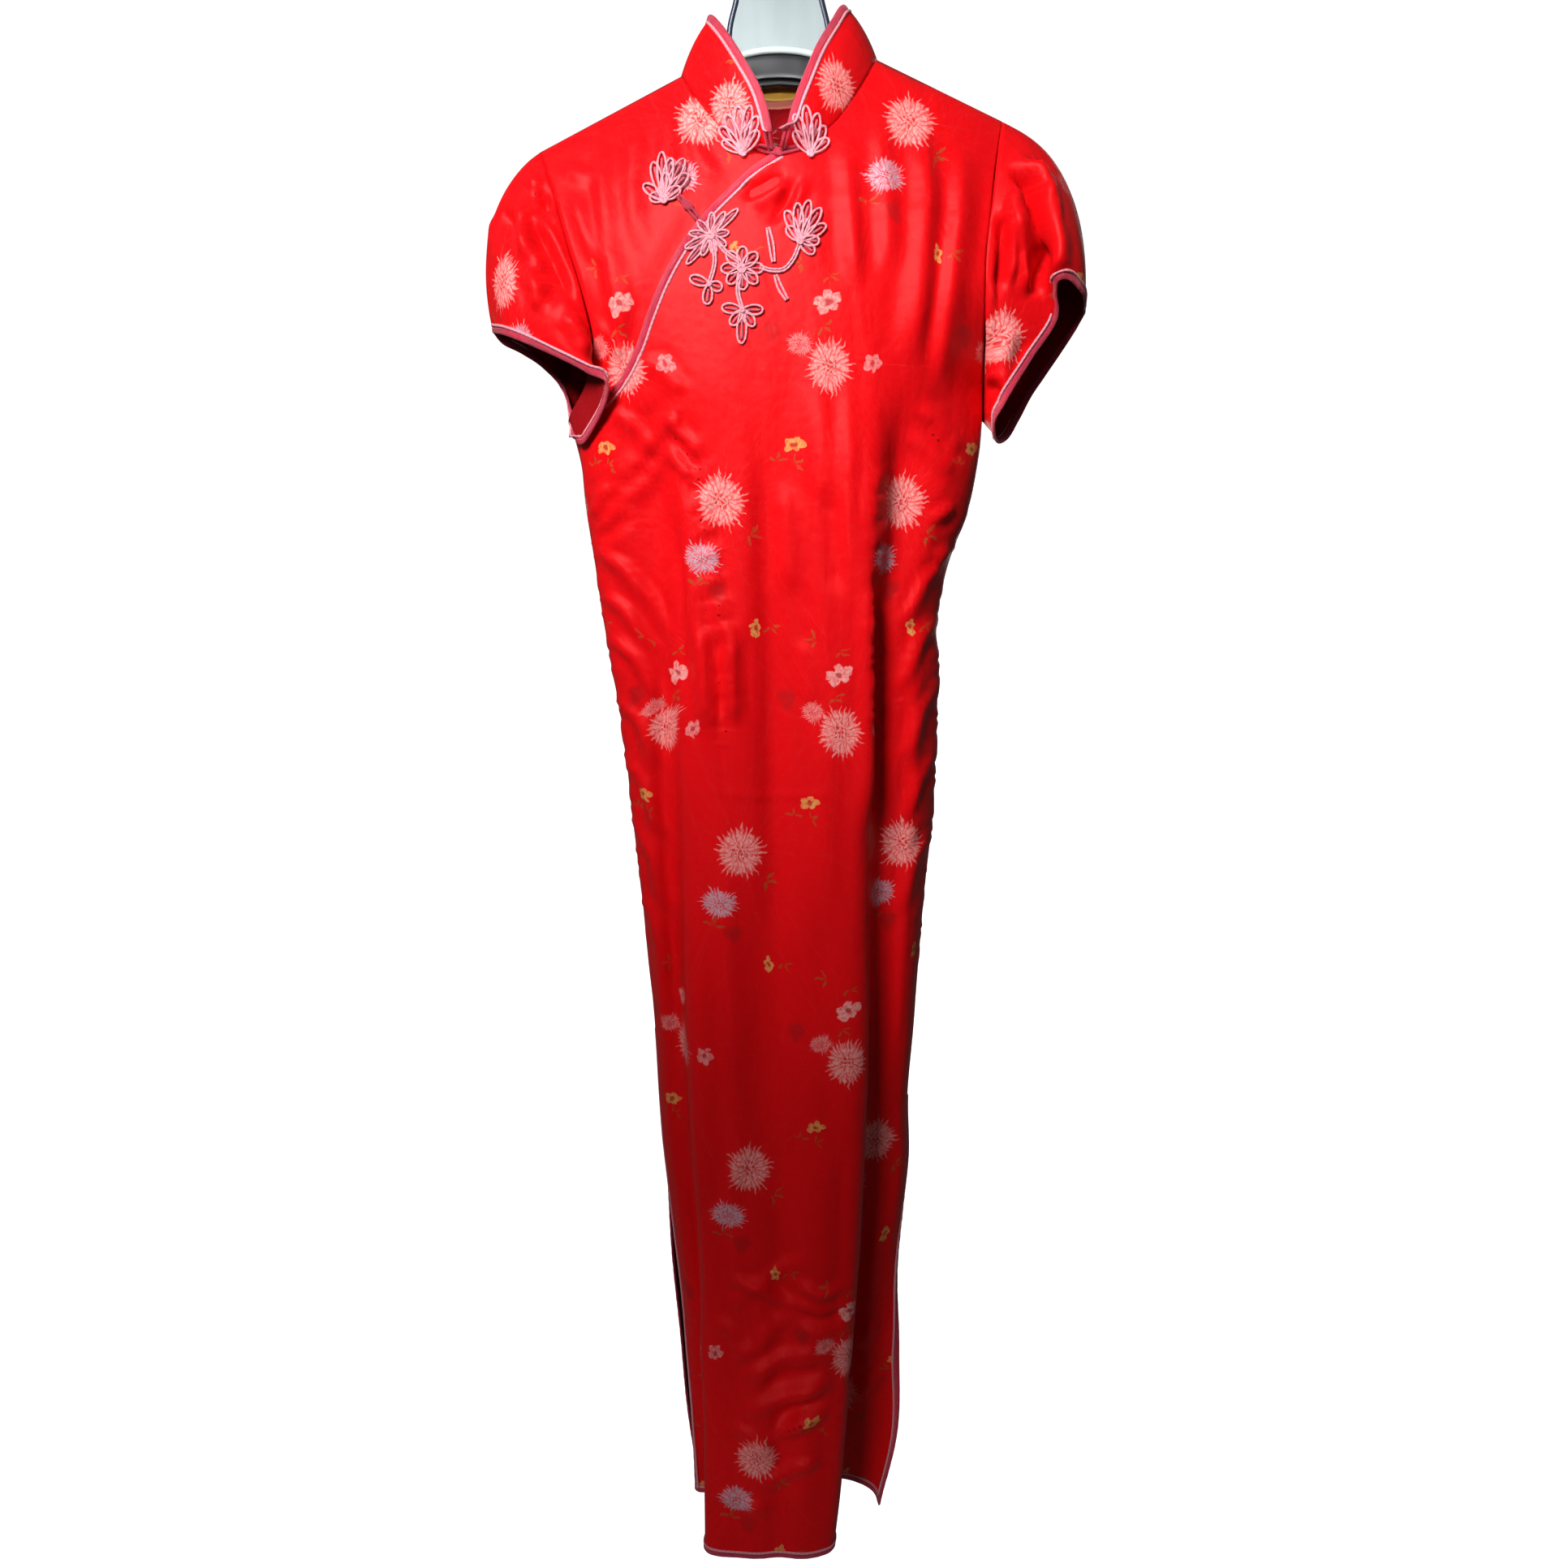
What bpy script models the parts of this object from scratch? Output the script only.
"""A full-length silk brocade cheongsam, hanging open at the collar on a plain plastic hanger.

Metres, +Z up. The origin is the inside top of the hanger's hook, where a rail carries it.
The front faces -Y, and the wearer's right side is at -X. Depths below the hook are called drops.
Each cloth piece is a grid laid on one shared surface (front, back, sleeve or collar), then
thickened to both sides, so neighbours meet edge to edge with a seam gap between them.
"""
import bpy
import numpy as np
from math import cos, pi, sin, tau

# ---------------------------------------------------------------- driving sizes
CLOTH = 0.0012              # lined silk brocade
BINDING = 0.0018            # folded satin edge binding
PIPING = 0.0018             # corded piping between the binding and the cloth
BINDING_WIDTH = 0.0050
PIPING_WIDTH = 0.0020
SEAM_GAP = 0.0003
UNDERLAP = 0.0032           # how far the wearer's-right front lies behind the lapped one
SLEEVE_LAP = 0.0022         # how far the sleeve stands off under the arm

HEM = 1.462
SLIT_LEFT = 0.957
SLIT_RIGHT = 1.028
ARMPIT = 0.410              # drop of both armpits; the lapped front's curve starts here too
UNDER_BOTTOM = 0.440
SIDE_NECK = 0.079           # half the width of the neck opening
MIDDLE = -0.00225           # centre of the bodice at the armpits
HALF = 0.17575              # half the bodice's flat width there

TRIM = (0.0, BINDING_WIDTH, BINDING_WIDTH + SEAM_GAP, BINDING_WIDTH + SEAM_GAP + PIPING_WIDTH,
        BINDING_WIDTH + 2 * SEAM_GAP + PIPING_WIDTH)

CUFF_GAP = 0.0005           # round the tight folds of a cuff the trims stand a little further off
CUFF_TRIM = (0.0, BINDING_WIDTH, BINDING_WIDTH + CUFF_GAP, BINDING_WIDTH + CUFF_GAP + PIPING_WIDTH,
             BINDING_WIDTH + 2 * CUFF_GAP + PIPING_WIDTH)
CUFF_THICKNESS = 0.0014

# ---------------------------------------------------------------- form tables
# Lines that run down the dress: (drop, x, y).
FRONT_LEFT = ((0.375, -0.182, 0.000), (0.402, -0.178, 0.000), (0.435, -0.171, 0.000),
              (0.476, -0.168, 0.000), (0.531, -0.161, 0.000), (0.574, -0.156, 0.000),
              (0.624, -0.148, 0.000), (0.676, -0.141, 0.000), (0.751, -0.135, 0.000),
              (0.828, -0.128, 0.000), (0.900, -0.123, 0.000), (0.957, -0.118, 0.000),
              (1.073, -0.1125, -0.003), (1.159, -0.105, -0.006), (1.248, -0.0965, -0.008),
              (1.339, -0.0915, -0.010), (1.400, -0.0885, -0.013), (1.462, -0.087, -0.016))
FRONT_RIGHT = ((0.375, 0.1745, 0.000), (0.392, 0.1735, 0.000), (0.435, 0.171, 0.000),
               (0.476, 0.165, 0.000), (0.531, 0.147, 0.000), (0.574, 0.139, 0.000),
               (0.624, 0.1415, 0.000), (0.676, 0.141, 0.000), (0.751, 0.140, 0.000),
               (0.828, 0.134, 0.000), (0.900, 0.130, 0.000), (0.957, 0.127, 0.000),
               (1.028, 0.122, 0.000), (1.090, 0.1245, -0.003), (1.140, 0.121, -0.006),
               (1.208, 0.116, -0.010), (1.300, 0.119, -0.016), (1.395, 0.117, -0.024),
               (1.462, 0.100, -0.036))
TROUGH_LEFT = ((0.375, -0.098, -0.052), (0.600, -0.096, -0.047), (0.751, -0.094, -0.043),
               (0.957, -0.091, -0.038), (1.119, -0.083, -0.034), (1.300, -0.072, -0.027),
               (1.462, -0.060, -0.020))
CREST_LEFT = ((0.375, -0.080, -0.060), (0.571, -0.083, -0.061), (0.807, -0.081, -0.065),
              (0.957, -0.080, -0.069), (1.112, -0.075, -0.075), (1.234, -0.072, -0.081),
              (1.406, -0.071, -0.088), (1.462, -0.071, -0.090))
CENTRE = ((0.375, 0.000, -0.070), (0.600, -0.002, -0.068), (0.800, -0.003, -0.070),
          (1.000, -0.003, -0.077), (1.200, -0.005, -0.086), (1.462, -0.009, -0.094))
CREST_RIGHT = ((0.375, 0.082, -0.066), (0.466, 0.082, -0.070), (0.570, 0.077, -0.072),
               (0.665, 0.074, -0.073), (0.806, 0.074, -0.075), (0.953, 0.076, -0.079),
               (1.112, 0.072, -0.083), (1.234, 0.066, -0.086), (1.406, 0.054, -0.089),
               (1.462, 0.049, -0.090))
TROUGH_RIGHT = ((0.375, 0.095, -0.054), (0.570, 0.091, -0.051), (0.751, 0.088, -0.046),
                (0.953, 0.086, -0.038), (1.112, 0.079, -0.030), (1.234, 0.070, -0.022),
                (1.406, 0.052, -0.008), (1.462, 0.045, -0.002))
BACK_LEFT = ((0.375, -0.182, 0.000), (0.402, -0.178, 0.000), (0.435, -0.171, 0.000),
             (0.476, -0.168, 0.000), (0.531, -0.161, 0.000), (0.574, -0.156, 0.000),
             (0.624, -0.148, 0.000), (0.676, -0.141, 0.000), (0.751, -0.135, 0.000),
             (0.828, -0.128, 0.000), (0.900, -0.123, 0.000), (0.957, -0.118, 0.000),
             (1.028, -0.1150, 0.003), (1.119, -0.111, 0.007), (1.208, -0.1085, 0.010),
             (1.300, -0.102, 0.012), (1.395, -0.0960, 0.014), (1.462, -0.0885, 0.016))
BACK_RIGHT = ((0.375, 0.1745, 0.000), (0.392, 0.1735, 0.000), (0.435, 0.171, 0.000),
              (0.476, 0.165, 0.000), (0.531, 0.147, 0.000), (0.574, 0.139, 0.000),
              (0.624, 0.1415, 0.000), (0.676, 0.141, 0.000), (0.751, 0.140, 0.000),
              (0.828, 0.134, 0.000), (0.900, 0.130, 0.000), (0.957, 0.127, 0.000),
              (1.028, 0.122, 0.000), (1.090, 0.119, 0.004), (1.140, 0.116, 0.006),
              (1.208, 0.112, 0.009), (1.300, 0.111, 0.012), (1.395, 0.107, 0.014),
              (1.462, 0.099, 0.016))
# How far the back hangs behind its side seams: (drop, depth).
BACK_DEPTH = ((0.375, 0.032), (0.600, 0.028), (0.800, 0.033), (1.000, 0.035), (1.462, 0.036))
# Soft ridges pressed out of the front and back: station across (0 to 10), and where they run.
# (surface, station at the top, at the foot, top drop, foot drop, width in stations, height)
RIDGES = (("front", 4.50, 4.60, 0.420, 1.000, 0.22, 0.0030),
          ("front", 5.35, 5.45, 0.520, 1.462, 0.30, 0.0030),
          ("front", 4.75, 4.85, 0.950, 1.462, 0.25, 0.0035),
          ("front", 1.20, 1.30, 0.480, 0.950, 0.35, 0.0040),
          ("front", 8.60, 8.50, 0.620, 1.300, 0.35, 0.0040),
          ("back", 2.60, 3.20, 0.420, 1.462, 0.40, 0.0070),
          ("back", 5.00, 5.10, 0.500, 1.462, 0.50, 0.0050),
          ("back", 7.30, 6.70, 0.430, 1.462, 0.40, 0.0080))

# Edges cut in the upper cloth: (x, drop).
LAP_EDGE = ((-0.178, 0.410), (-0.174, 0.4088), (-0.150, 0.399), (-0.1273, 0.380), (-0.1146, 0.359),
            (-0.1047, 0.335), (-0.0925, 0.308), (-0.0761, 0.281), (-0.0567, 0.2575),
            (-0.0408, 0.2424), (-0.0187, 0.224), (0.000, 0.2125))
NECK_RIGHT = ((0.000, 0.2125), (0.015, 0.210), (0.032, 0.201), (0.045, 0.189),
              (0.057, 0.172), (0.068, 0.153), (0.079, 0.129))
NECK_LEFT = ((-0.004, 0.2140), (-0.015, 0.2125), (-0.028, 0.208), (-0.040, 0.199),
             (-0.053, 0.184), (-0.067, 0.164), (-0.079, 0.141))
NECK_BACK = ((-0.079, 0.141), (-0.060, 0.150), (-0.030, 0.156), (0.000, 0.157),
             (0.030, 0.153), (0.060, 0.143), (0.079, 0.129))
HIDDEN_EDGE = ((-0.118, 0.432), (-0.098, 0.385), (-0.070, 0.325), (-0.035, 0.278),
               (-0.002, 0.250), (0.012, 0.233), (-0.004, 0.2140))
ARMHOLE_RIGHT = ((0.1735, 0.410), (0.1715, 0.387), (0.1685, 0.359), (0.1667, 0.335), (0.1652, 0.294),
                 (0.1691, 0.250), (0.1739, 0.210), (0.181, 0.174))
ARMHOLE_LEFT = ((-0.178, 0.410), (-0.174, 0.405), (-0.158, 0.383), (-0.150, 0.353), (-0.156, 0.319),
                (-0.170, 0.274), (-0.184, 0.228), (-0.195, 0.197))
BACK_ARMHOLE_RIGHT = ((0.1735, 0.410), (0.1665, 0.370), (0.164, 0.320), (0.169, 0.260),
                      (0.175, 0.212), (0.181, 0.174))
BACK_ARMHOLE_LEFT = ((-0.178, 0.410), (-0.167, 0.365), (-0.166, 0.320), (-0.174, 0.270),
                     (-0.186, 0.225), (-0.195, 0.197))

# Sleeves, once round from the shoulder by way of the front:
# (turn, x, y, drop of the hem, and how far the cloth swells in x, y, z half way down)
SLEEVE_LEFT = ((0.00, -0.240, -0.004, 0.337, -0.020, 0.000, 0.014),
               (0.12, -0.221, -0.034, 0.345, -0.014, -0.006, 0.006),
               (0.25, -0.185, -0.051, 0.361, -0.006, -0.009, 0.000),
               (0.37, -0.152, -0.061, 0.378, 0.000, -0.006, 0.000),
               (0.42, -0.136, -0.064, 0.388, 0.002, -0.003, 0.000),
               (0.46, -0.146, -0.050, 0.410, 0.002, -0.003, 0.000),
               (0.49, -0.164, -0.034, 0.430, 0.000, -0.003, 0.000),
               (0.53, -0.184, -0.018, 0.429, -0.001, 0.000, 0.000),
               (0.57, -0.197, -0.004, 0.411, -0.002, 0.001, 0.000),
               (0.62, -0.205, 0.003, 0.391, -0.004, 0.002, 0.000),
               (0.69, -0.213, 0.008, 0.373, -0.006, 0.004, 0.000),
               (0.80, -0.226, 0.010, 0.357, -0.012, 0.005, 0.000),
               (0.91, -0.235, 0.006, 0.344, -0.018, 0.004, 0.008),
               (1.00, -0.240, -0.004, 0.337, -0.020, 0.000, 0.014))
SLEEVE_RIGHT = ((0.00, 0.256, -0.002, 0.322, 0.020, 0.000, 0.022),
                (0.07, 0.246, -0.036, 0.314, 0.014, -0.008, 0.010),
                (0.12, 0.231, -0.048, 0.305, 0.008, -0.008, 0.006),
                (0.16, 0.223, -0.047, 0.306, 0.006, -0.007, 0.004),
                (0.19, 0.224, -0.039, 0.313, 0.005, -0.003, 0.002),
                (0.24, 0.228, -0.030, 0.328, 0.004, 0.000, 0.000),
                (0.33, 0.206, -0.036, 0.364, 0.002, -0.002, 0.000),
                (0.42, 0.184, -0.045, 0.399, 0.001, -0.003, 0.000),
                (0.46, 0.177, -0.041, 0.414, 0.001, -0.003, 0.000),
                (0.50, 0.183, -0.027, 0.428, 0.000, -0.001, 0.000),
                (0.53, 0.193, -0.014, 0.424, 0.001, 0.000, 0.000),
                (0.57, 0.204, -0.003, 0.408, 0.002, 0.001, 0.000),
                (0.62, 0.214, 0.004, 0.390, 0.004, 0.002, 0.000),
                (0.70, 0.227, 0.010, 0.371, 0.006, 0.004, 0.000),
                (0.80, 0.240, 0.012, 0.352, 0.010, 0.004, 0.002),
                (0.91, 0.251, 0.008, 0.334, 0.016, 0.002, 0.012),
                (1.00, 0.256, -0.002, 0.322, 0.020, 0.000, 0.022))

# The collar's upper edge, from its left front end round the back: (turn, x, y, drop).
COLLAR_EDGE = ((0.000, -0.0050, -0.0640, 0.2030), (0.060, -0.0090, -0.0640, 0.186),
               (0.120, -0.0160, -0.0600, 0.167), (0.180, -0.0295, -0.0490, 0.142),
               (0.240, -0.0420, -0.0350, 0.120), (0.285, -0.0515, -0.0200, 0.105),
               (0.330, -0.0560, -0.0040, 0.099), (0.380, -0.0500, 0.0140, 0.101),
               (0.440, -0.0290, 0.0260, 0.108), (0.490, 0.0000, 0.0300, 0.111),
               (0.550, 0.0290, 0.0260, 0.106), (0.610, 0.0490, 0.0140, 0.097),
               (0.660, 0.0535, -0.0040, 0.093), (0.705, 0.0485, -0.0200, 0.098),
               (0.750, 0.0405, -0.0330, 0.114), (0.810, 0.0290, -0.0490, 0.137),
               (0.870, 0.0190, -0.0600, 0.162), (0.940, 0.0105, -0.0640, 0.184),
               (1.000, 0.0055, -0.0640, 0.2030))

# Knotted cord ornaments as flat blossoms: (name, x, drop, radius, petals, petal depth, turn)
BLOSSOMS = (("frog_collar_left", -0.0240, 0.1975, 0.0175, 5, 0.42, 0.0),
            ("frog_collar_right", 0.0215, 0.2000, 0.0165, 5, 0.42, 0.3),
            ("frog_shoulder", -0.0885, 0.2300, 0.0210, 5, 0.40, 0.1),
            ("frog_knot", -0.0690, 0.2515, 0.0055, 2, 0.30, 0.6),
            ("frog_spider", -0.0530, 0.2760, 0.0215, 9, 0.38, 0.2),
            ("frog_blossom", -0.0290, 0.3010, 0.0175, 6, 0.38, 0.0),
            ("frog_bud", -0.0560, 0.3130, 0.0125, 3, 0.55, 0.5),
            ("frog_leaf_spray", -0.0290, 0.3385, 0.0185, 5, 0.50, -0.3),
            ("frog_lotus", 0.0210, 0.2690, 0.0205, 5, 0.40, 0.15))
# Cord stems between them: (name, (x, drop) points)
STEMS = (("frog_stem", ((-0.0095, 0.2990), (0.0020, 0.3020), (0.0110, 0.2950), (0.0150, 0.2910))),
         ("frog_twig", ((-0.0075, 0.2720), (-0.0055, 0.2820), (-0.0040, 0.2950))),
         ("frog_twig_foot", ((-0.0020, 0.3065), (0.0010, 0.3150), (0.0060, 0.3230))))
CORD = 0.0022               # thickness of the frog cord
FROG_LIFT = 0.0005          # cloth face to the underside of a frog
FROG_FEEL = 0.006           # how far round a point the cloth below a frog is felt for

# Hanger
ARM_HALF_DEPTH = 0.0035
ARM_BELOW_SEAM = 0.006
HOOK_WIRE = 0.0019
HOOK_RADIUS = 0.0209
HOOK_STEM_FOOT = -0.0655

RED = (0.60, 0.008, 0.012)
PINK = (0.66, 0.03, 0.10)
PALE_PINK = (0.85, 0.24, 0.28)
GOLD = (0.56, 0.28, 0.03)
BLACK = (0.012, 0.012, 0.014)
GREY = (0.30, 0.36, 0.36)
STEEL = (0.55, 0.55, 0.56)


# ---------------------------------------------------------------- small tools
def clear_scene():
    for thing in list(bpy.data.objects):
        bpy.data.objects.remove(thing, do_unlink=True)


def material(name, colour, roughness=0.5, metallic=0.0):
    made = bpy.data.materials.get(name) or bpy.data.materials.new(name)
    made.use_nodes = True
    shader = made.node_tree.nodes["Principled BSDF"]
    shader.inputs["Base Color"].default_value = (*colour, 1.0)
    shader.inputs["Roughness"].default_value = roughness
    shader.inputs["Metallic"].default_value = metallic
    return made


def ease(x):
    x = min(max(x, 0.0), 1.0)
    return x * x * (3.0 - 2.0 * x)


class Track:
    """A smooth curve through a table's rows, read at a value of its first column."""

    def __init__(self, rows):
        table = np.array(rows, dtype=float)
        self.keys = table[:, 0]
        self.values = table[:, 1:]
        self.slopes = np.gradient(self.values, self.keys, axis=0)

    def at(self, key):
        i = int(np.clip(np.searchsorted(self.keys, key) - 1, 0, len(self.keys) - 2))
        span = self.keys[i + 1] - self.keys[i]
        s = min(max((key - self.keys[i]) / span, 0.0), 1.0)
        rise = s * s * (3 - 2 * s)
        leave = s * (1 - s) ** 2 * span
        arrive = s * s * (s - 1) * span
        return (self.values[i] * (1 - rise) + self.values[i + 1] * rise
                + self.slopes[i] * leave + self.slopes[i + 1] * arrive)


def through(points):
    """A Track through plain points, keyed by the distance along them."""
    points = np.array(points, dtype=float)
    steps = np.linalg.norm(np.diff(points, axis=0), axis=1)
    run = np.concatenate(([0.0], np.cumsum(steps)))
    return Track(np.column_stack((run, points)))


def spread(points, count, near_end=None, surface=None):
    """Count + 1 points evenly along a curve, or along it on a surface, and one near its end."""
    track = through(points)
    keys = np.linspace(0.0, track.keys[-1], count + 1)
    if surface:
        dense = np.linspace(0.0, track.keys[-1], 200)
        spots = np.array([surface(*track.at(key)) for key in dense])
        run = np.concatenate(([0.0], np.cumsum(np.linalg.norm(np.diff(spots, axis=0), axis=1))))
        keys = np.interp(np.linspace(0.0, run[-1], count + 1), run, dense)
    keys = list(keys)
    if near_end:
        keys.insert(-1, keys[-1] - near_end)
    return [track.at(key) for key in keys]


def unit(vector):
    return vector / max(np.linalg.norm(vector), 1e-12)


# ---------------------------------------------------------------- the dress's surfaces
FRONT_TRACKS = [Track(rows) for rows in (FRONT_LEFT, TROUGH_LEFT, CREST_LEFT, CENTRE,
                                         CREST_RIGHT, TROUGH_RIGHT, FRONT_RIGHT)]
BACK_TRACKS = [Track(rows) for rows in (BACK_LEFT, BACK_RIGHT)]
BACK_DEPTH_TRACK = Track(BACK_DEPTH)
# A front section has eleven stations, 0 at the wearer's-right seam to 10 at the left one.
STATION_X = np.array((-0.178, -0.174, -0.146, -0.098, -0.080, 0.0, 0.082, 0.095, 0.138, 0.1695,
                      0.1735))
SIDE_ROUND = (0.06, 0.45)       # first rounding point beside a seam, as shares of the strip
SIDE_FLAT = (0.45, 0.92)
ROLL = 0.006                    # the cloth's roll over the hanger's arm
BLEND_TOP = 0.375
BLEND_FOOT = 0.455
SECTIONS = {}


def shoulder_drop(x):
    """Drop of the shoulder line above a point, carried on over the neck opening."""
    left = 0.141 + 0.483 * (-x - SIDE_NECK)
    right = 0.129 + 0.441 * (x - SIDE_NECK)
    side = ease((x + 0.05) / 0.10)
    return left * (1 - side) + right * side


def side_close(drop, across):
    """How much of its depth the bodice keeps out towards the armholes."""
    edge = 0.68 * (1 - ease((drop - 0.30) / 0.10))
    return 1 - (1 - edge) * min(abs(across), 1.1) ** 4


def hang_depth(x, drop, reach, settle):
    """How far the upper cloth stands off the shoulders' plane as it falls from the arm."""
    fall = max(drop - shoulder_drop(x), 0.0)
    kept = side_close(drop, (x - MIDDLE) / HALF)
    roll = ROLL * (1 - np.exp(-fall / 0.004)) * max(kept, 0.0) ** 0.25
    return roll + reach * (1 - np.exp(-fall / settle)) * kept


def ridge_height(surface, station, drop):
    total = 0.0
    for side, top_at, foot_at, top, foot, width, height in RIDGES:
        if side != surface or not top < drop:
            continue
        along = (drop - top) / (foot - top)
        centre = top_at + (foot_at - top_at) * along
        fade = ease(along * 3) * (ease((1 - along) * 3) if foot < HEM else 1.0)
        total += height * fade * np.exp(-((station - centre) / width) ** 2)
    return total


def front_section(drop):
    """The front's plan section: a smooth path through its eleven stations."""
    key = round(drop, 6)
    if key not in SECTIONS:
        left, trough_l, crest_l, centre, crest_r, trough_r, right = [
            track.at(drop) for track in FRONT_TRACKS]
        near_l = [left + (trough_l - left) * np.array(share) for share in (SIDE_ROUND, SIDE_FLAT)]
        near_r = [right + (trough_r - right) * np.array(share) for share in (SIDE_ROUND, SIDE_FLAT)]
        stops = [left, *near_l, trough_l, crest_l, centre, crest_r, trough_r, *near_r[::-1], right]
        SECTIONS[key] = through(stops)
    return SECTIONS[key]


def front(station, drop):
    """A point on the front, by its station across and its drop."""
    path = front_section(max(drop, BLEND_TOP))
    keys = path.keys
    low = path.at(np.interp(station, np.arange(11), keys))
    x = np.interp(station, np.arange(11), STATION_X)
    x += min(station, 0.0) * 0.004 + max(station - 10.0, 0.0) * 0.004
    high = np.array((x, -hang_depth(x, drop, 0.066, 0.08)))
    share = ease((drop - BLEND_TOP) / (BLEND_FOOT - BLEND_TOP))
    flat = high * (1 - share) + low * share
    flat[1] -= ridge_height("front", station, drop)
    return np.array((flat[0], flat[1], -drop))


def back(station, drop):
    """A point on the back, by its station across and its drop."""
    across = station / 5 - 1
    left, right = [track.at(max(drop, BLEND_TOP)) for track in BACK_TRACKS]
    deep = BACK_DEPTH_TRACK.at(max(drop, BLEND_TOP))[0]
    bowed = sin(min(max(across, -1.0), 1.0) * pi / 2)
    low = left + (right - left) * (bowed + 1) / 2
    low[1] += deep * max(1 - bowed ** 4, 0.0) ** 0.5
    x = MIDDLE + HALF * across
    high = np.array((x, hang_depth(x, drop, 0.026, 0.06)))
    share = ease((drop - BLEND_TOP) / (BLEND_FOOT - BLEND_TOP))
    flat = high * (1 - share) + low * share
    flat[1] += ridge_height("back", station, drop)
    return np.array((flat[0], flat[1], -drop))


def front_station(x):
    """Station across the upper front of a point at x."""
    if x < STATION_X[0]:
        return (x - STATION_X[0]) / 0.004
    if x > STATION_X[-1]:
        return 10.0 + (x - STATION_X[-1]) / 0.004
    return float(np.interp(x, STATION_X, np.arange(11)))


def front_at(x, drop):
    return front(front_station(x), drop)


def back_at(x, drop):
    return back(5.0 * (1.0 + (x - MIDDLE) / HALF), drop)


# ---------------------------------------------------------------- grids and walls
class Grid:
    """Points in rows and columns on one surface, with the direction that faces out."""

    def __init__(self, points, outward, ring=False):
        self.points = np.array(points)
        self.ring = ring
        p = self.points
        if ring:
            down = np.roll(p, -1, axis=0) - np.roll(p, 1, axis=0)
        else:
            down = np.gradient(p, axis=0)
        across = np.gradient(p, axis=1)
        n = np.cross(across, down)
        n /= np.maximum(np.linalg.norm(n, axis=2, keepdims=True), 1e-12)
        self.normals = n * outward

    def soften(self, rounds):
        """Even out the facings round a ring, so a tight fold's wall does not cross itself."""
        for turn in range(rounds):
            beside = np.roll(self.normals, 1, axis=0) + np.roll(self.normals, -1, axis=0)
            n = self.normals + beside / 2
            self.normals = n / np.maximum(np.linalg.norm(n, axis=2, keepdims=True), 1e-12)

    def aim(self, rows, columns, direction):
        """Face an edge's points one way, so both walls at a seam end in one plane."""
        self.normals[rows, columns] = unit(np.array(direction, dtype=float))


def wall(name, grid, rows, columns, keep, thickness, finish, lift=0.0):
    """A closed wall over the kept cells of a grid, thickened to both sides of it."""
    row_pairs = list(zip(rows, rows[1:] + [rows[0]] if grid.ring else rows[1:]))
    column_pairs = list(zip(columns, columns[1:]))
    cells = [(r, c) for r in row_pairs for c in column_pairs if keep(r[0], c[0])]
    index = {}
    edges = {}
    faces = []
    for (r0, r1), (c0, c1) in cells:
        corners = [(r0, c0), (r1, c0), (r1, c1), (r0, c1)]
        ids = [index.setdefault(corner, len(index)) for corner in corners]
        faces.append(ids)
        for a, b in zip(ids, ids[1:] + ids[:1]):
            edges[(a, b)] = True
    keys = list(index)
    base = np.array([grid.points[k] for k in keys])
    out = np.array([grid.normals[k] for k in keys])
    count = len(keys)
    outer = base + out * (lift + thickness / 2)
    inner = base + out * (lift - thickness / 2)
    solid_faces = []
    for ids in faces:
        front_ids = list(ids)
        back_ids = [i + count for i in reversed(ids)]
        solid_faces += [front_ids, back_ids]
    # Both walls at a gap split their end faces along the same diagonal, so the gap stays even.
    for (a, b) in edges:
        if (b, a) in edges:
            continue
        if keys[a] < keys[b]:
            solid_faces += [[b, a, b + count], [a, a + count, b + count]]
        else:
            solid_faces += [[b, a, a + count], [b, a + count, b + count]]
    return solid(name, np.vstack((outer, inner)), solid_faces, finish)


def solid(name, points, faces, finish, smooth=True):
    """An object of closed faces, all wound to face outwards."""
    points = np.array(points, dtype=float)
    volume = sum(np.dot(points[f[0]], np.cross(points[f[k]], points[f[k + 1]]))
                 for f in faces for k in range(1, len(f) - 1))
    if volume < 0:
        faces = [list(f)[::-1] for f in faces]
    mesh = bpy.data.meshes.new(name)
    mesh.from_pydata([tuple(p) for p in points], [], faces)
    mesh.validate()
    mesh.materials.append(material(*finish))
    thing = bpy.data.objects.new(name, mesh)
    bpy.context.collection.objects.link(thing)
    if smooth:
        mesh.shade_smooth()
        mesh.set_sharp_from_angle(angle=pi / 5)
    return thing


BROCADE = ("red_brocade", RED, 0.42)
SATIN = ("pink_satin", PINK, 0.38)
CORDING = ("pale_pink_cord", PALE_PINK, 0.45)


def row_on(surface, start, end, shares, slant=1.0, trims="both"):
    """One row of a panel from edge to edge, with the trim columns at their true widths."""
    steps = np.linspace(0.0, 1.0, 241)
    dense = np.array([surface(start[0] + (end[0] - start[0]) * s,
                              start[1] + (end[1] - start[1]) * s) for s in steps])
    run = np.concatenate(([0.0], np.cumsum(np.linalg.norm(np.diff(dense, axis=0), axis=1))))
    inner = np.interp(shares, steps, run)
    left = np.array(TRIM) * slant
    right = run[-1] - np.array(TRIM)[::-1]
    reach = 6 * TRIM[-1]
    if trims in ("both", "left"):
        inner = inner + left[-1] * np.maximum(1 - inner / reach, 0.0)
    else:
        left = left[:0]
    if trims == "both":
        inner = inner - TRIM[-1] * np.maximum(1 - (run[-1] - inner) / reach, 0.0)
        wanted = np.concatenate((left[:-1], inner, right[1:]))
    else:
        wanted = np.concatenate((left[:-1], inner))
    return np.column_stack([np.interp(wanted, run, dense[:, k]) for k in range(3)])


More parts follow.
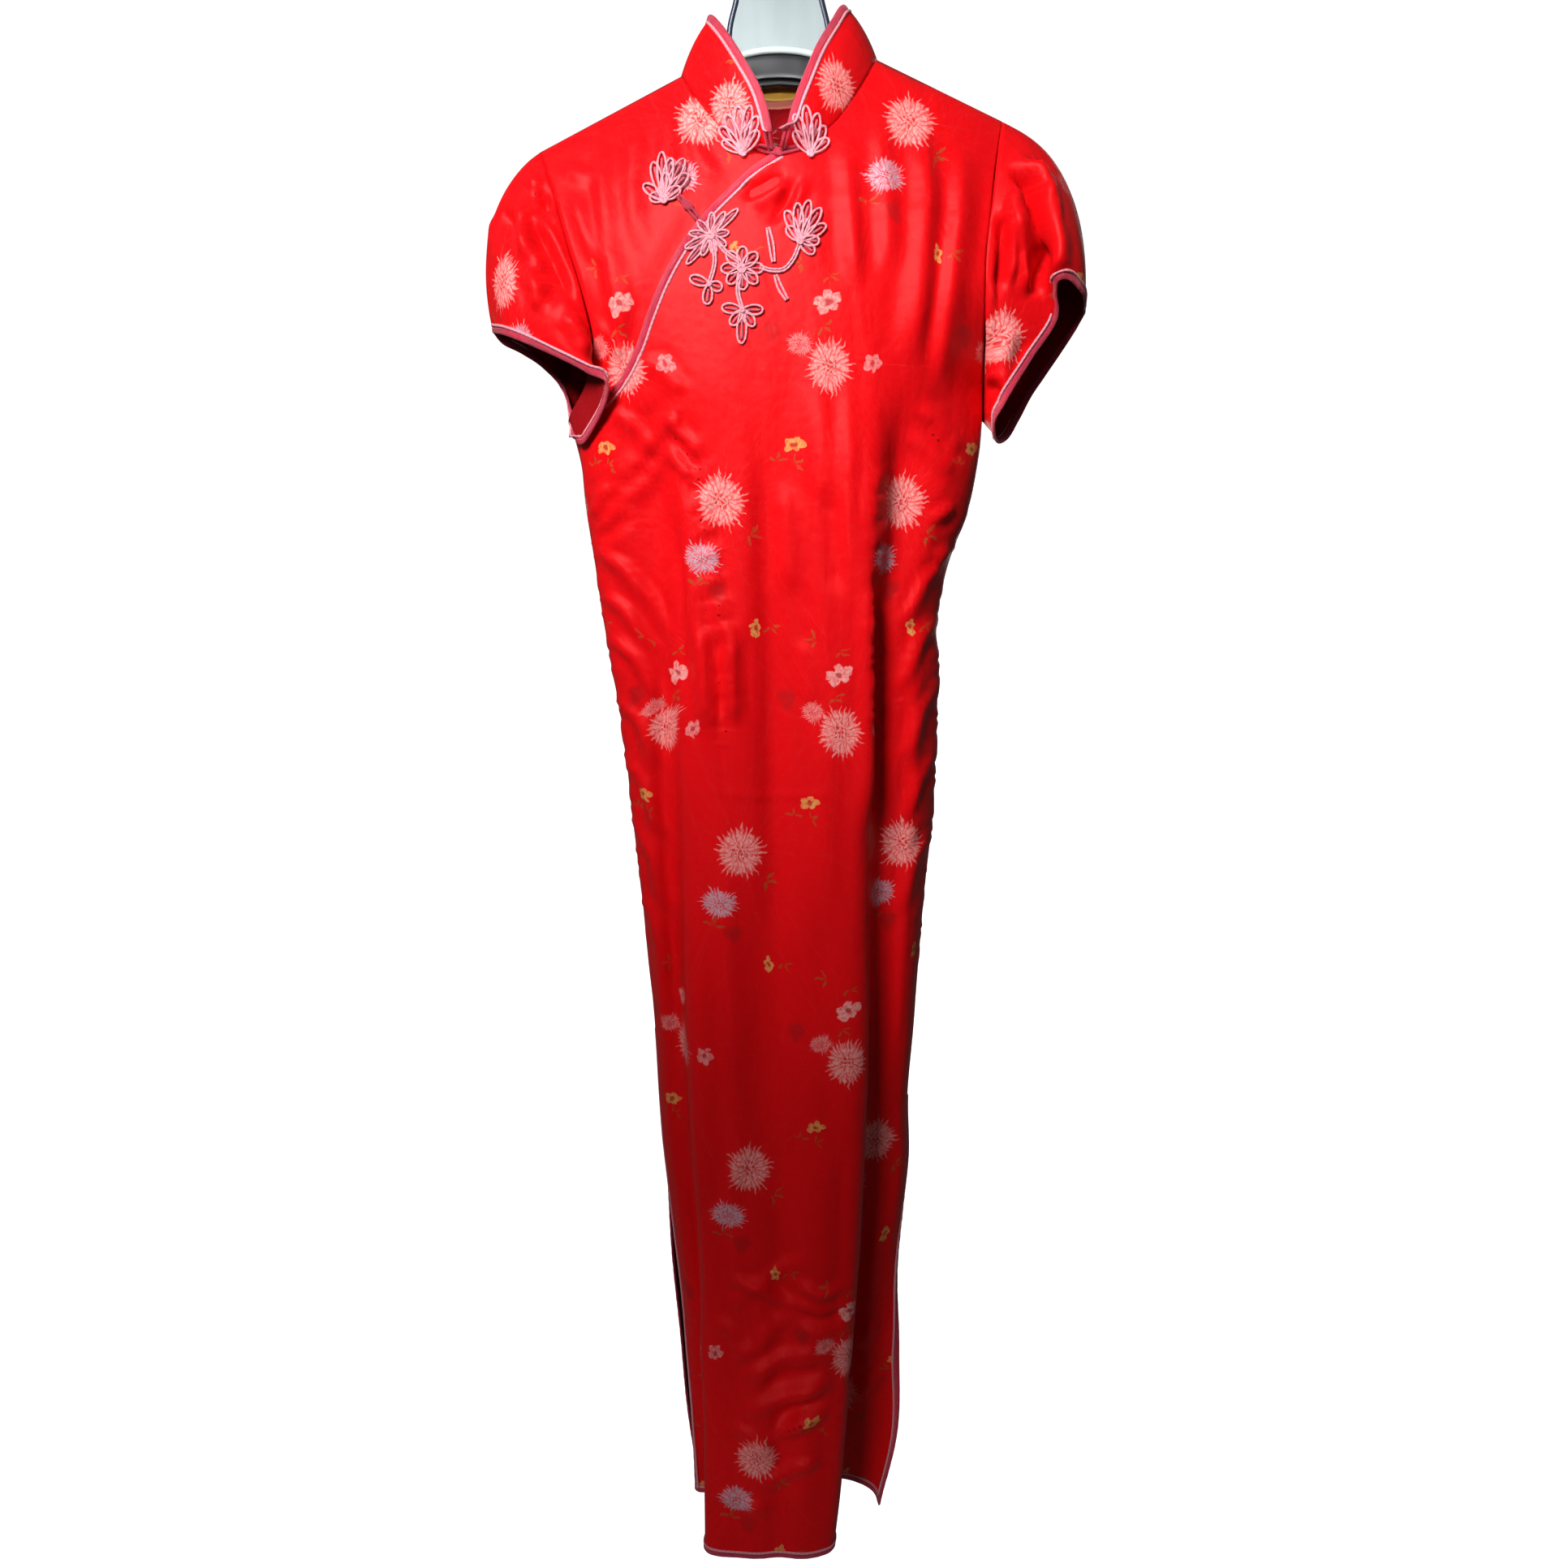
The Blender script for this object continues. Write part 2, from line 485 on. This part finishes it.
EDGE_ROW = 0.006            # the last row below a shoulder seam, where the cloth turns over
FRONT_SHARES = np.array((0, 0.8, 1.5, 2.2, 3, 3.5, 4, 4.33, 4.67, 5, 5.33, 5.67, 6, 6.5, 7, 7.8,
                         8.5, 9.2, 10)) / 10
UPPER_SHARES = np.interp(FRONT_SHARES * 10, np.arange(11), STATION_X)
UPPER_SHARES = (UPPER_SHARES - STATION_X[0]) / (STATION_X[-1] - STATION_X[0])
BACK_SHARES = np.linspace(0, 1, 19)


def drops_between(start, end, step):
    count = max(int(round(abs(end - start) / step)), 1)
    return list(np.linspace(start, end, count + 1)[1:])


def skirt_drops(armpit):
    """Row drops from the hem to the armpit, with a seam gap at each slit's top."""
    rows = [HEM - t for t in TRIM]
    rows += drops_between(rows[-1], SLIT_RIGHT + SEAM_GAP, 0.036)
    right_top = len(rows) - 1
    rows.append(SLIT_RIGHT)
    rows += drops_between(SLIT_RIGHT, SLIT_LEFT + SEAM_GAP, 0.036)
    left_top = len(rows) - 1
    rows.append(SLIT_LEFT)
    rows += drops_between(SLIT_LEFT, armpit, 0.0345)
    return rows, left_top, right_top


def panel_rows(last, *skipped):
    """The rows a panel keeps: none of the trims' own, and not the lower one of a gap pair."""
    return [r for r in range(4, last + 1) if r not in skipped]


def trim_side(name, grid, left_top, right_top, last_column, top):
    """The binding and piping down one slit, round the hem and up the other."""
    def in_strip(first):
        def keep(r, c):
            return (r == first or (c == first and r < left_top)
                    or (c == last_column - first - 1 and r < right_top))
        return keep

    rows = list(range(5, top + 1))
    middle = list(range(5, last_column - 4))
    wall(name + "_binding", grid, [0, 1] + rows, [0, 1] + middle + [last_column - 1, last_column],
         in_strip(0), BINDING, SATIN)
    wall(name + "_piping", grid, [2, 3] + rows, [2, 3] + middle + [last_column - 3, last_column - 2],
         in_strip(2), PIPING, CORDING)


def lean(grid_row_start, grid_row_next, inward):
    """How much wider a trim is cut along a row that meets its edge at a slant."""
    edge = unit(grid_row_next - grid_row_start)
    across = unit(inward)
    return 1.0 / max(np.linalg.norm(np.cross(edge, across)), 0.35)


def share_facings(grid, columns, source):
    """Give a trim and its neighbours one facing in each row, so the gaps between them stay."""
    for column in columns:
        grid.normals[:, column] = grid.normals[:, source]


def make_front():
    """The lapped front: hem to the wearer's-left shoulder, cut away along the lap's curve."""
    drops, left_top, right_top = skirt_drops(ARMPIT + SEAM_GAP)
    corner = len(drops)
    lap = spread(LAP_EDGE, 16, 2 * SEAM_GAP, front_at)
    v_row = corner + len(lap) - 1
    lefts = lap + spread(NECK_RIGHT, 7, EDGE_ROW)[1:]
    rights = spread(ARMHOLE_RIGHT, len(lefts) - 3, EDGE_ROW, front_at)
    pair = len(lap) - 1
    rights.insert(pair, rights[pair - 1] - (0.0, 2 * SEAM_GAP))
    slants = [1.0] * len(lefts)
    for k, start in enumerate(lap):
        a, b = lap[max(k - 1, 0)], lap[min(k + 1, len(lap) - 1)]
        inward = front_at(*(start + (rights[k] - start) * 0.05)) - front_at(*start)
        slants[k] = lean(front_at(*a), front_at(*b), inward)
    rows = [row_on(front, (0, d), (10, d), FRONT_SHARES) for d in drops[:-1]]
    rows.append(row_on(front, (0, drops[-1]), (10, drops[-1]), FRONT_SHARES, slants[0]))
    rows += [row_on(front_at, start, end, UPPER_SHARES, slant)
             for start, end, slant in zip(lefts, rights, slants, strict=True)]
    grid = Grid(rows, 1.0)
    last_column = grid.points.shape[1] - 1
    if grid.normals[10, 12][1] > 0:
        grid.normals *= -1
    share_facings(grid, range(0, 4), 4)
    share_facings(grid, range(last_column - 3, last_column + 1), last_column - 4)
    grid.normals[0:4] = grid.normals[4]
    # Seam edges: the side seams and the shoulder.
    grid.points[left_top:corner + 1, 0, 1] = -SEAM_GAP / 2
    grid.aim(slice(left_top, corner + 1), 0, (-1, 0, 0))
    grid.points[right_top:corner + 1, last_column, 1] = -SEAM_GAP / 2
    grid.aim(slice(right_top, corner + 1), last_column, (1, 0, 0))
    # The lap's corner: the panel ends level under the trims, so all its facings are level.
    for row in (corner - 1, corner):
        for column in range(5):
            grid.aim(row, column, grid.normals[corner - 1, column] * (1, 1, 0))
    grid.points[-1, :, 1] = -SEAM_GAP / 2
    grid.aim(-1, slice(None), (0.441, 0, 1))
    top = len(rows) - 1

    def panel(r, c):
        if c < 4:
            return left_top < r < corner - 1 or r >= v_row
        if c >= last_column - 4:
            return r > right_top
        return True

    # The panel's rows skip the trim's row of each gap pair.
    columns = [0] + list(range(4, last_column - 3)) + [last_column]
    rows_kept = panel_rows(top, left_top, right_top, corner, v_row - 1)
    wall("front_panel", grid, rows_kept, columns, panel, CLOTH, BROCADE)
    trim_side("front", grid, left_top, right_top, last_column, left_top)
    lap_rows = list(range(corner, v_row))
    wall("lap_binding", grid, lap_rows, [0, 1], lambda r, c: True, BINDING, SATIN)
    wall("lap_piping", grid, lap_rows, [2, 3], lambda r, c: True, PIPING, CORDING)
    return grid, corner, v_row


def lap_distance(x, drop):
    """How far a point stands clear of the lapped edge, on its uncovered side."""
    edge = np.array(LAP_EDGE + NECK_RIGHT[1:2])
    best, side = 1.0, 0.0
    for a, b in zip(edge, edge[1:]):
        run = b - a
        share = min(max(np.dot((x, drop) - a, run) / np.dot(run, run), 0.0), 1.0)
        gap = np.array((x, drop)) - (a + run * share)
        length = np.linalg.norm(gap)
        if length < best:
            best = length
            side = run[0] * gap[1] - run[1] * gap[0]
    return best if side < 0 else 0.0


def under_at(x, drop):
    """The wearer's-right front, level with the other but sinking behind it under the lap."""
    here = front_at(x, drop)
    side = front_at(x + 0.001, drop) - front_at(x - 0.001, drop)
    foot = front_at(x, drop + 0.001) - front_at(x, drop - 0.001)
    out = unit(np.cross(side, foot))
    if out[1] > 0:
        out = -out
    return here - out * UNDERLAP * (1 - ease(lap_distance(x, drop) / 0.022))


def make_under_front():
    lefts = [np.array(p) for p in ((-0.1640, UNDER_BOTTOM), (-0.1690, 0.425))]
    lefts += spread(ARMHOLE_LEFT, 14, EDGE_ROW, front_at)
    hidden = spread(HIDDEN_EDGE, 10)
    rights = hidden + spread(NECK_LEFT, 6, EDGE_ROW)[1:]
    rows = [row_on(under_at, start, end, np.linspace(0, 1, 10), trims="none")
            for start, end in zip(lefts, rights, strict=True)]
    grid = Grid(rows, 1.0)
    if grid.normals[8, 4][1] > 0:
        grid.normals *= -1
    grid.aim(2, 0, (-1, 0, 0))
    grid.points[-1, :, 1] = -SEAM_GAP / 2
    grid.aim(-1, slice(None), (-0.483, 0, 1))
    count = len(rows)
    wall("under_front", grid, list(range(count)), list(range(10)), lambda r, c: True, CLOTH, BROCADE)
    # The sleeve hangs from the outer cloth's level, also where this one sinks under the lap.
    armhole = Grid([[front_at(*spot)] * 2 for spot in lefts], 1.0)
    armhole.points[:, 1] = grid.points[:, 1]
    armhole.normals[:, 0] = grid.normals[:, 0]
    return grid, armhole, 2, len(hidden) - 1


def make_back():
    """The whole back, from its hem to the shoulders and the back of the neck."""
    drops, left_top, right_top = skirt_drops(ARMPIT)
    rows = [row_on(back, (0, d), (10, d), BACK_SHARES) for d in drops]
    armpit = len(rows) - 1
    steps = 12
    lefts = spread(BACK_ARMHOLE_LEFT, steps, EDGE_ROW)
    rights = spread(BACK_ARMHOLE_RIGHT, steps, EDGE_ROW)
    top_edge = np.array(((-0.195, 0.197),) + NECK_BACK + ((0.181, 0.174),))
    seam_x = np.array((-0.195, -0.152, -0.1155, -0.079, *np.linspace(-0.0665, 0.0665, 11),
                       0.079, 0.113, 0.147, 0.181))
    neck = through([(x, d) for x, d in NECK_BACK])
    neck_run = np.array([neck.at(k) for k in np.linspace(0, neck.keys[-1], 200)])
    seam_drop = np.interp(seam_x, top_edge[:, 0], top_edge[:, 1])
    inside = abs(seam_x) < SIDE_NECK
    seam_drop[inside] = np.interp(seam_x[inside], neck_run[:, 0], neck_run[:, 1])
    low_x = np.interp(BACK_SHARES, (0, 1), (lefts[0][0], rights[0][0]))
    low_drop = np.interp(BACK_SHARES, (0, 1), (lefts[0][1], rights[0][1]))
    fractions = [k / steps for k in range(1, steps)] + [1 - EDGE_ROW / 0.24, 1.0]
    for k, f in enumerate(fractions, start=1):
        x = low_x * (1 - f) + seam_x * f
        d = low_drop * (1 - f) + seam_drop * f
        for end, edge in ((0, lefts), (-1, rights)):
            off = np.array(edge[k]) - (x[end], d[end])
            weight = (1 - BACK_SHARES if end == 0 else BACK_SHARES) ** 2
            x = x + off[0] * weight
            d = d + off[1] * weight
        inner = np.array([back_at(a, b) for a, b in zip(x, d)])
        ends = [inner[0] + (inner[1] - inner[0]) * s for s in (0.0, 0.2, 0.25, 0.45)]
        far = [inner[-1] + (inner[-2] - inner[-1]) * s for s in (0.45, 0.25, 0.2, 0.0)]
        shrunk = inner.copy()
        shrunk[0] = inner[0] + (inner[1] - inner[0]) * 0.5
        shrunk[-1] = inner[-1] + (inner[-2] - inner[-1]) * 0.5
        rows.append(np.vstack((ends, shrunk, far)))
    grid = Grid(rows, 1.0)
    if grid.normals[10, 12][1] < 0:
        grid.normals *= -1
    last_column = grid.points.shape[1] - 1
    share_facings(grid, range(0, 4), 4)
    share_facings(grid, range(last_column - 3, last_column + 1), last_column - 4)
    grid.normals[0:4] = grid.normals[4]
    grid.points[left_top:armpit + 1, 0, 1] = SEAM_GAP / 2
    grid.aim(slice(left_top, armpit + 1), 0, (-1, 0, 0))
    grid.points[right_top:armpit + 1, last_column, 1] = SEAM_GAP / 2
    grid.aim(slice(right_top, armpit + 1), last_column, (1, 0, 0))
    on_left = grid.points[-1, :, 0] < -SIDE_NECK + 0.001
    on_right = grid.points[-1, :, 0] > SIDE_NECK - 0.001
    for chosen, direction in ((on_left, (-0.483, 0, 1)), (on_right, (0.441, 0, 1))):
        for c in np.flatnonzero(chosen):
            grid.points[-1, c, 1] = SEAM_GAP / 2
            grid.aim(-1, c, direction)

    def panel(r, c):
        if c < 4:
            return r > left_top
        if c >= last_column - 4:
            return r > right_top
        return True

    columns = [0] + list(range(4, last_column - 3)) + [last_column]
    wall("back_panel", grid, panel_rows(len(rows) - 1, left_top, right_top), columns, panel,
         CLOTH, BROCADE)
    trim_side("back", grid, left_top, right_top, last_column, left_top)
    return grid, armpit


# ---------------------------------------------------------------- sleeves and collar
def armhole_ring(front_edge, back_edge):
    """Once round an armhole from the shoulder: points, facings and the way off the cloth."""
    ring = []
    for grid, rows, column, beside in (front_edge, back_edge):
        for r in rows:
            point = grid.points[r, column].copy()
            off = unit(point - grid.points[r, beside])
            ring.append([point, grid.normals[r, column].copy(), off])
    middle = len(front_edge[1])
    merged = ring[:middle] + ring[middle:]
    for a, b in ((0, len(ring) - 1), (middle - 1, middle)):
        point = (ring[a][0] + ring[b][0]) / 2
        merged[a] = [point, unit(ring[a][1] + ring[b][1]), unit(ring[a][2] + ring[b][2])]
    del merged[middle]
    merged.pop()
    return merged


def make_sleeve(name, table, ring, side):
    track = Track(table)
    points = np.array([entry[0] for entry in ring])
    closed = np.vstack((points, points[:1]))
    run = np.concatenate(([0.0], np.cumsum(np.linalg.norm(np.diff(closed, axis=0), axis=1))))
    turns = run[:-1] / run[-1]
    columns = []
    shares = np.array((0.0, 0.10, 0.26, 0.42, 0.58, 0.74, 0.88))
    hems = [track.at(turn)[:3] * (1, 1, -1) for turn in turns]
    for k, ((point, facing, off), turn) in enumerate(zip(ring, turns)):
        x, y, drop, swell_x, swell_y, swell_z = track.at(turn)
        hem = np.array((x, y, -drop))
        swell = np.array((swell_x, swell_y, swell_z))
        # Under the arm the sleeve turns down over the bodice, so it starts outside it.
        away = unit(hem + swell - point)
        fold = ease((0.90 - np.dot(away, off)) / 0.6)
        start = point + off * SEAM_GAP * (1 - fold) + facing * SLEEVE_LAP * fold + off * 0.001 * fold
        dense = np.array([start + (hem - start) * s + swell * 4 * s * (1 - s)
                          for s in np.linspace(0, 1, 121)])
        steps = np.concatenate(([0.0], np.cumsum(np.linalg.norm(np.diff(dense, axis=0), axis=1))))
        slant = lean(hems[k - 1], hems[(k + 1) % len(hems)], dense[-1] - dense[-9])
        trims = np.array(CUFF_TRIM) * slant
        body = shares / shares[-1] * (steps[-1] - trims[-1])
        wanted = np.concatenate((body, steps[-1] - trims[:-1][::-1]))
        columns.append(np.column_stack([np.interp(wanted, steps, dense[:, k]) for k in range(3)]))
    grid = Grid(columns, 1.0, ring=True)
    middle = grid.points[:, 4].mean(axis=0)
    if np.dot(grid.normals[2, 4], grid.points[2, 4] - middle) < 0:
        grid.normals *= -1
    for k, (point, facing, off) in enumerate(ring):
        grid.normals[k, 0] = facing
    rows = list(range(len(ring)))
    last = grid.points.shape[1] - 1
    grid.soften(2)
    share_facings(grid, range(last - 3, last + 1), last - 4)
    wall("sleeve_" + side, grid, rows, list(range(last - 3)), lambda r, c: True, CLOTH, BROCADE)
    wall("cuff_piping_" + side, grid, rows, [last - 3, last - 2], lambda r, c: True,
         CUFF_THICKNESS, CORDING)
    wall("cuff_binding_" + side, grid, rows, [last - 1, last], lambda r, c: True, CUFF_THICKNESS,
         SATIN)
    return grid


def make_collar(base):
    """One band round the neck, low and slanting at both front ends."""
    track = Track(COLLAR_EDGE)
    points = np.array([entry[0] for entry in base])
    run = np.concatenate(([0.0], np.cumsum(np.linalg.norm(np.diff(points, axis=0), axis=1))))
    columns = []
    edges = [track.at(turn) * (1, 1, -1) for turn in run / run[-1]]
    for k, ((point, facing, off), turn) in enumerate(zip(base, run / run[-1])):
        x, y, drop = track.at(turn)
        edge = np.array((x, y, -drop))
        start = point + off * SEAM_GAP + np.array((0, 0, 0.0004))
        bow = facing * 0.0035
        dense = np.array([start + (edge - start) * s + bow * 4 * s * (1 - s)
                          for s in np.linspace(0, 1, 81)])
        steps = np.concatenate(([0.0], np.cumsum(np.linalg.norm(np.diff(dense, axis=0), axis=1))))
        slant = lean(edges[max(k - 1, 0)], edges[min(k + 1, len(edges) - 1)], dense[-1] - dense[-9])
        trims = np.array(TRIM) * min(slant, 0.75 * steps[-1] / TRIM[-1])
        body = np.linspace(0, 1, 5) * (steps[-1] - trims[-1])
        wanted = np.concatenate((body, steps[-1] - trims[:-1][::-1]))
        columns.append(np.column_stack([np.interp(wanted, steps, dense[:, k]) for k in range(3)]))
    grid = Grid(columns, 1.0)
    centre = np.array((0.0, -0.01, -0.13))
    if np.dot(grid.normals[len(base) // 4, 2], grid.points[len(base) // 4, 2] - centre) < 0:
        grid.normals *= -1
    for k, (point, facing, off) in enumerate(base):
        grid.normals[k, 0] = grid.normals[k, 1]
    rows = list(range(len(base)))
    last = grid.points.shape[1] - 1
    share_facings(grid, range(last - 3, last + 1), last - 4)
    wall("collar", grid, rows, list(range(last - 3)), lambda r, c: True, CLOTH, BROCADE)
    wall("collar_piping", grid, rows, [last - 3, last - 2], lambda r, c: True, PIPING, CORDING)
    wall("collar_binding", grid, rows, [last - 1, last], lambda r, c: True, BINDING, SATIN)
    return grid


def neck_ring(under_grid, neck_start, back_grid, front_grid, v_row):
    """The neck seam from the left front end, round the back, to the right front end."""
    ring = []
    last = under_grid.points.shape[1] - 1
    for r in range(neck_start, under_grid.points.shape[0]):
        point = under_grid.points[r, last]
        ring.append([point, under_grid.normals[r, last], unit(point - under_grid.points[r, last - 1])])
    top = back_grid.points[-1]
    for c in np.flatnonzero(abs(top[:, 0]) < SIDE_NECK - 0.002):
        ring.append([top[c], back_grid.normals[-1, c], unit(top[c] - back_grid.points[-2, c])])
    for r in range(front_grid.points.shape[0] - 1, v_row - 1, -1):
        point = front_grid.points[r, 0]
        ring.append([point, front_grid.normals[r, 0], unit(point - front_grid.points[r, 5])])
    for entry in ring:
        off = entry[2] - entry[1] * np.dot(entry[1], entry[2])
        entry[2] = unit(off + np.array((0, 0, 0.6)))
    return ring


# ---------------------------------------------------------------- frogs, label, hanger
def cloth_cloud(grids, lowest):
    """Points all over the upper cloth, to find which of it lies foremost."""
    cloud = []
    for grid in grids:
        p = grid.points
        for s in np.linspace(0, 1, 8)[:-1]:
            between = p[:-1] * (1 - s) + p[1:] * s
            for t in np.linspace(0, 1, 8)[:-1]:
                cloud.append((between[:, :-1] * (1 - t) + between[:, 1:] * t).reshape(-1, 3))
    cloud = np.vstack(cloud)
    return cloud[cloud[:, 2] > -lowest]


def foremost(cloud, x, drop):
    """The foremost cloth near a place on the front."""
    gap = np.hypot(cloud[:, 0] - x, cloud[:, 2] + drop)
    near = cloud[gap < FROG_FEEL]
    if len(near) == 0:
        near = cloud[np.argsort(gap)[:3]]
    return near[:, 1].min()


def resting(cloud, spots):
    """Depths of the flat plane that rests on the foremost cloth under some (x, drop) spots."""
    felt = np.array([foremost(cloud, x, d) for x, d in spots])
    base = np.column_stack((spots, np.ones(len(spots))))
    level = base @ np.linalg.lstsq(base, felt, rcond=None)[0]
    return level + (felt - level).min() - PIPING / 2 - FROG_LIFT


def plate(name, outline, cloud, finish):
    """A flat ornament resting on the cloth."""
    outline = np.array(outline)
    flat = np.vstack((outline, outline.mean(axis=0)))
    below = np.column_stack((flat[:, 0], resting(cloud, flat), -flat[:, 1]))
    above = below - (0, CORD, 0)
    count = len(outline)
    low = count + 1
    faces = []
    for k in range(count):
        n = (k + 1) % count
        faces += [[k, n, count], [n + low, k + low, count + low], [n, k, k + low, n + low]]
    points = np.vstack((above, below))
    return solid(name, points, faces, finish, smooth=False)


def make_frogs(cloud):
    for name, x, drop, radius, petals, depth, turn in BLOSSOMS:
        count = petals * 6
        outline = []
        for k in range(count):
            angle = tau * k / count
            reach = radius * (1 - depth * (0.5 - 0.5 * cos(petals * (angle - turn))))
            outline.append((x + reach * sin(angle), drop - reach * cos(angle)))
        plate(name, outline, cloud, CORDING)
    for name, route in STEMS:
        run = np.array(spread(route, 6))
        way = np.gradient(run, axis=0)
        side = np.column_stack((way[:, 1], -way[:, 0]))
        side /= np.linalg.norm(side, axis=1, keepdims=True)
        ribbon(name, run + side * CORD / 2, run - side * CORD / 2, cloud)


def ribbon(name, one_side, other_side, cloud):
    """A cord stem as a square-cut strip on the cloth."""
    flat = np.column_stack((one_side, other_side)).reshape(-1, 2)
    below = np.column_stack((flat[:, 0], resting(cloud, flat), -flat[:, 1]))
    points = np.stack((below, below - (0, CORD, 0)), axis=1).reshape(-1, 3)
    faces = []
    last = len(one_side) - 1
    for k in range(last):
        a, b = 4 * k, 4 * k + 4
        faces += [[a, b, b + 1, a + 1], [a + 1, b + 1, b + 3, a + 3],
                  [a + 3, b + 3, b + 2, a + 2], [a + 2, b + 2, b, a]]
    faces += [[0, 1, 3, 2], [4 * last + 2, 4 * last + 3, 4 * last + 1, 4 * last]]
    return solid(name, points, faces, CORDING, smooth=False)


def make_collar_loop(cloud):
    """The satin loop that ties the collar's two ends at the foot of the V."""
    outline = [(0.0005 + 0.0055 * cos(tau * k / 12), 0.2105 + 0.0042 * sin(tau * k / 12))
               for k in range(12)]
    plate("collar_loop", outline, cloud, SATIN)


def make_label(collar):
    """A bare woven label on the inside of the collar's back."""
    back_rows = [r for r in range(collar.points.shape[0])
                 if abs(collar.points[r, 1, 0]) < 0.030 and collar.points[r, 1, 1] > 0]
    wall("neck_label", collar, back_rows, [1, 2, 3, 4], lambda r, c: True, 0.0006,
         ("gold_label", GOLD, 0.5), lift=-(CLOTH / 2 + 0.0010))


def profile_solid(name, outline, y_front, y_back, finish, bevel=0.0):
    """A flat shape in the plane of the shoulders, given thickness front to back."""
    count = len(outline)
    points = [(x, y_front, z) for x, z in outline] + [(x, y_back, z) for x, z in outline]
    faces = [list(range(count)), list(range(2 * count - 1, count - 1, -1))]
    faces += [[(k + 1) % count, k, k + count, (k + 1) % count + count] for k in range(count)]
    thing = solid(name, points, faces, finish, smooth=False)
    if bevel:
        edge = thing.modifiers.new("rounded", "BEVEL")
        edge.width = bevel
        edge.segments = 2
        edge.limit_method = "ANGLE"
        edge.angle_limit = pi / 4
    return thing


def make_hanger():
    """Black arms with a neck, a grey face plate on it, and a steel hook above."""
    def arm_top(x):
        return -shoulder_drop(x) - ARM_BELOW_SEAM

    top = [(x, arm_top(x)) for x in (0.170, 0.145, 0.110, 0.080)]
    upper = [(0.046, -0.118), (0.030, -0.088), (0.024, -0.066)]
    upper += [(-x, z) for x, z in reversed(upper)]
    top += upper + [(x, arm_top(x)) for x in (-0.080, -0.110, -0.150, -0.178)]
    tips = [(-0.185, -0.2095), (-0.183, -0.217), (-0.172, -0.2165)]
    under = [(-0.120, -0.186), (-0.070, -0.164), (-0.035, -0.151), (0.0, -0.1475),
             (0.035, -0.150), (0.070, -0.160), (0.120, -0.178)]
    ends = [(0.168, -0.1985), (0.178, -0.198), (0.179, -0.190)]
    profile_solid("hanger_arms", (top + tips + under + ends)[::-1], -ARM_HALF_DEPTH,
                  ARM_HALF_DEPTH, ("black_plastic", BLACK, 0.35), bevel=0.0025)
    arc = [(0.041 * sin(a), -0.134 + 0.009 * cos(a * 1.1)) for a in np.linspace(1.2, -1.2, 9)]
    face = [(-0.041, -0.115), (-0.0345, -0.085), (-0.031, -0.063), (0.031, -0.063),
            (0.0345, -0.085), (0.041, -0.115)]
    profile_solid("hanger_plate", (face + arc)[::-1], -ARM_HALF_DEPTH - 0.0045,
                  -ARM_HALF_DEPTH - SEAM_GAP, ("grey_plastic", GREY, 0.4), bevel=0.001)
    centre = HOOK_WIRE - HOOK_RADIUS
    route = [(0.0, HOOK_STEM_FOOT), (0.0, -0.050), (0.0016, -0.0425)]
    route += [(HOOK_RADIUS * sin(a), centre - HOOK_RADIUS * cos(a))
              for a in np.linspace(0.34, 1.35 * pi, 22)]
    rod("hanger_hook", route, HOOK_WIRE, 10, ("steel_wire", STEEL, 0.3, 1.0))


def rod(name, route, radius, sides, finish):
    """A round wire bent along a route in the plane of the shoulders."""
    route = np.array(route)
    way = np.gradient(route, axis=0)
    way /= np.linalg.norm(way, axis=1, keepdims=True)
    points = []
    for (x, z), (wx, wz) in zip(route, way):
        for k in range(sides):
            side, depth = radius * cos(tau * k / sides), radius * sin(tau * k / sides)
            points.append((x - wz * side, depth, z + wx * side))
    faces = [[r * sides + k, r * sides + (k + 1) % sides, (r + 1) * sides + (k + 1) % sides,
              (r + 1) * sides + k] for r in range(len(route) - 1) for k in range(sides)]
    faces += [list(range(sides))[::-1], list(range(len(points) - sides, len(points)))]
    return solid(name, points, faces, finish)


def main():
    clear_scene()
    front_grid, corner, v_row = make_front()
    under_grid, left_armhole, armpit_left, neck_start = make_under_front()
    back_grid, back_armpit = make_back()
    last = front_grid.points.shape[1] - 1
    back_last = back_grid.points.shape[1] - 1
    front_top = front_grid.points.shape[0] - 1
    under_top = under_grid.points.shape[0] - 1
    back_top = back_grid.points.shape[0] - 1
    left_ring = armhole_ring(
        (left_armhole, list(range(under_top, armpit_left - 1, -1)), 0, 1),
        (back_grid, list(range(back_armpit, back_top + 1)), 0, 4))
    right_ring = armhole_ring(
        (front_grid, [r for r in range(front_top, corner - 2, -1) if r not in (v_row - 1, corner)],
         last, last - 4),
        (back_grid, list(range(back_armpit, back_top + 1)), back_last, back_last - 4))
    left = make_sleeve("sleeve_left", SLEEVE_LEFT, left_ring, "left")
    right = make_sleeve("sleeve_right", SLEEVE_RIGHT, right_ring, "right")
    collar = make_collar(neck_ring(under_grid, neck_start, back_grid, front_grid, v_row))
    cloud = cloth_cloud((front_grid, under_grid, collar), 0.36)
    make_frogs(cloud)
    make_collar_loop(cloud)
    make_label(collar)
    make_hanger()


main()
